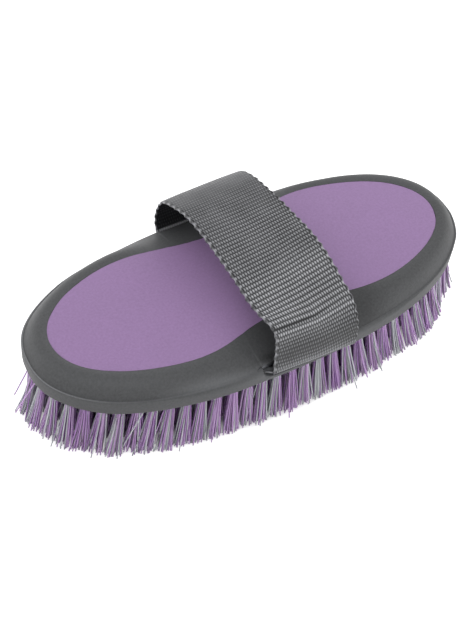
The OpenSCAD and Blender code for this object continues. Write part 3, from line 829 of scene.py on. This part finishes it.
cover_foot = np.column_stack([cover_ring(slot_start)[:, :2], board_over - foot_drop])
inner_foot = ring_at(foot_step + foot_width, board_over)
wall_shares = (np.arange(wall_rings) / (wall_rings - 1)) ** wall_crowding
shoulder = [cover_ring(slot_start + (1 - slot_start) * share) for share in wall_shares]
recess = inlay_outline(round_body, 0.05)
hollow_edge = ring_at(foot_step + foot_width, board_over + hollow - (hollow - 0.5) * waisted)
foot_rings = [hollow_edge, inner_foot, cover_foot]
cover_rings = foot_rings + shoulder
cover_rings += [crown_ring(recess, s, inlay_edge - recess_depth) for s in (1, 0.75, 0.5, 0.25)]
cover_points = np.concatenate(cover_rings + [[[0, 0, inlay_edge - recess_depth + inlay_crown],
                                              [0, 0, board_over + hollow]]])
cover_faces = np.concatenate(ring_faces(len(cover_rings), around)).tolist()
last_ring = (len(cover_rings) - 1) * around
middle = last_ring + around
cover_faces += [[last_ring + k, last_ring + (k + 1) % around, middle] for k in range(around)]
cover_faces += [[(k + 1) % around, k, middle + 1] for k in range(around)]
cover = make_piece("cover", cover_points, cover_faces, sharp=48)
foot_x, at_front = foot[:, 0], foot[:, 1] < 0
sheen_here = bell(foot_x, sheen_place, sheen_length) * at_front
right_front = smooth_step((foot_x - right_front_start) / right_fade) * at_front
strap_shadow = sum(tone * bell(foot_x, place, reach) for place, reach, tone in strap_shadow_tones)
at_right_end = smooth_step((foot_x - right_end_start) / right_fade)
in_nook = bell(foot_x, nook_place, nook_reach) * at_front
on_shoulder = bell(foot_x, shoulder_place, shoulder_length) * at_front

# Painted shade darkens the wall at its foot, up the right front, at the foot of the right end, in the nook
# and beside the strap, where its shadow falls; painted highlights lighten the rounded foot left of the
# strap and the front left shoulder.
wall_tones = []
for share in wall_shares:
    up_wall = share * rim_width
    wall_shading = wall_foot_shade * bell(up_wall, 0, wall_height) * (1 - at_waist)
    plain = right_wall_shade * (1 - np.exp(-(up_wall / right_wall_height) ** 4))
    wall_shading = wall_shading + (plain - wall_shading) * right_front + strap_shadow * at_front
    wall_shading = wall_shading + right_end_shade * at_right_end * bell(up_wall, 0, right_end_height)
    wall_shading = wall_shading - shoulder_highlight * on_shoulder * bell(up_wall, shoulder_height, shoulder_width)
    wall_shading = wall_shading + nook_shade * in_nook * bell(up_wall, nook_height, nook_width)
    wall_tones.append(sheen * sheen_here * bell(share, sheen_share, sheen_width) - wall_shading)
cover_tones = np.zeros(len(cover_points))
wall_start = len(foot_rings) * around
cover_tones[wall_start:wall_start + wall_rings * around] = np.concatenate(wall_tones)
cover.data.attributes.new("painted_shading", "FLOAT", "POINT").data.foreach_set("value", cover_tones)
cover.data.materials.append(body_plastic)
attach(cover, "root")
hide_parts("back_shell")


# Inlay. A soft lilac rubber pad moulded into the cover, waisted where the strap crosses it and slightly
# crowned, with a fine matt grain. Its edge meets the cover flush and wavers a little.
inlay_gap = 0.05
pad_edge = inlay_outline(round_body, inlay_gap)
waver = pick.normal(0, 0.13, around)
waver = np.convolve(np.concatenate([waver[-2:], waver, waver[:2]]), np.ones(5) / 5, "valid")
pad_edge = pad_edge * (1 + waver / np.linalg.norm(pad_edge, axis=1))[:, None]
pad_rings = [crown_ring(pad_edge, s, inlay_edge - recess_depth + 0.1) for s in (0.3, 0.7, 0.99)]
pad_rings += [np.column_stack([pad_edge * s, np.full(around, inlay_edge + z)])
              for s, z in ((1.0, -1.0), (1.0, -0.12), (0.9985, 0.0))]
crown_shares = (0.99, 0.96, 0.9, 0.8, 0.68, 0.55, 0.42, 0.28, 0.14, 0.05)
pad_rings += [crown_ring(pad_edge, s, inlay_edge) for s in crown_shares]
pad_points = np.concatenate(pad_rings + [[[0, 0, inlay_edge + inlay_crown],
                                          [0, 0, inlay_edge - recess_depth + 0.1 + inlay_crown]]])
pad_faces = np.concatenate(ring_faces(len(pad_rings), around)).tolist()
last_ring = (len(pad_rings) - 1) * around
middle = last_ring + around
pad_faces += [[last_ring + k, last_ring + (k + 1) % around, middle] for k in range(around)]
pad_faces += [[(k + 1) % around, k, middle + 1] for k in range(around)]
pad = make_piece("inlay", pad_points, pad_faces)
pad.data.materials.append(moulded_material("inlay_rubber", "#9b7caa", 1000.0, 0.16, 0.05, 0.62, 0.16))
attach(pad, "root")
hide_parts("inlay_pad")


# Floor and light. A plain white sweep in even light all round, brighter from the rear left, from low on the
# right and a little from the front, as from three large soft panels. Seen directly or in a reflection, the
# sweep glows white, which paints over the brush's shadow, except in an oval under the brush where it keeps
# its shadow.
def white_when_seen(tree):
    """1 for rays that come from the camera, a reflection or through glass, and 0 for the rest."""
    rays = node(tree, "LightPath")
    seen = math_node(tree, "ADD", rays.outputs["Is Camera Ray"], rays.outputs["Is Glossy Ray"], clamp=True)
    return math_node(tree, "ADD", seen, rays.outputs["Is Transmission Ray"], clamp=True)


floor_half, floor_height = 4.0, -0.0001
shade_half = (0.108, 0.05, 1.0)
floor_mesh = bpy.data.meshes.new("floor")
corner_signs = ((-1, -1), (1, -1), (1, 1), (-1, 1))
floor_corners = [(x * floor_half, y * floor_half, floor_height) for x, y in corner_signs]
floor_mesh.from_pydata(floor_corners, [], [(0, 1, 2, 3)])
floor = bpy.data.objects.new("floor", floor_mesh)
bpy.context.scene.collection.objects.link(floor)
floor_look = bpy.data.materials.new("floor_white")
floor_look.use_nodes = True
tree = floor_look.node_tree
tree.nodes.clear()
# The glow fades out in an oval under the brush: outside it the glow paints over the brush's shadow, inside
# it the shadow stays.
spot = node(tree, "VectorMath", {"operation": "DIVIDE"}, i0=node(tree, "TexCoord").outputs["Object"],
            i1=shade_half).outputs[0]
beyond = node(tree, "MapRange", {"interpolation_type": "SMOOTHSTEP"},
              Value=node(tree, "VectorMath", {"operation": "LENGTH"}, i0=spot).outputs["Value"],
              From_Min=0.8, From_Max=1.02, To_Min=0.0, To_Max=0.75).outputs[0]
matt = node(tree, "BsdfDiffuse", Color=(0.85, 0.85, 0.85, 1))
seen_glow = math_node(tree, "MULTIPLY", white_when_seen(tree), beyond)
glow = node(tree, "Emission", Color=(1, 1, 1, 1), Strength=seen_glow)
both = node(tree, "AddShader", i0=matt.outputs[0], i1=glow.outputs[0])
node(tree, "OutputMaterial", Surface=both.outputs[0])
floor_mesh.materials.append(floor_look)

world = bpy.data.worlds.new("studio")
bpy.context.scene.world = world
world.use_nodes = True
tree = world.node_tree
tree.nodes.clear()
way = node(tree, "TexCoord").outputs["Generated"]
dome_low, dome_even, low_height, high_height = 0.48, 0.3, 0.1, 0.5
panels = (((-0.603, 0.656, 0.454), 1.06), ((0.993, 0.117, 0.0), 1.58), ((0.2, -0.975, 0.1), 0.5))
panel_edge, panel_middle = 0.3, 0.95
height_up = node(tree, "SeparateXYZ", Vector=way).outputs["Z"]
dome = node(tree, "MapRange", {"interpolation_type": "SMOOTHSTEP"}, Value=height_up, From_Min=low_height,
            From_Max=high_height, To_Min=dome_even + dome_low, To_Max=dome_even).outputs[0]
for direction, strength in panels:
    facing = node(tree, "VectorMath", {"operation": "DOT_PRODUCT"}, i0=way, i1=direction).outputs["Value"]
    panel = node(tree, "MapRange", {"interpolation_type": "SMOOTHSTEP"}, Value=facing, From_Min=panel_edge,
                 From_Max=panel_middle, To_Min=0.0, To_Max=strength).outputs[0]
    dome = math_node(tree, "ADD", dome, panel)
even = node(tree, "Background", Color=(1, 1, 1, 1), Strength=dome)
white = node(tree, "Background", Color=(1, 1, 1, 1), Strength=1.0)
shown = node(tree, "MixShader", Fac=white_when_seen(tree), i1=even.outputs[0], i2=white.outputs[0])
node(tree, "OutputWorld", Surface=shown.outputs[0])

bpy.context.scene.view_settings.view_transform = "Standard"
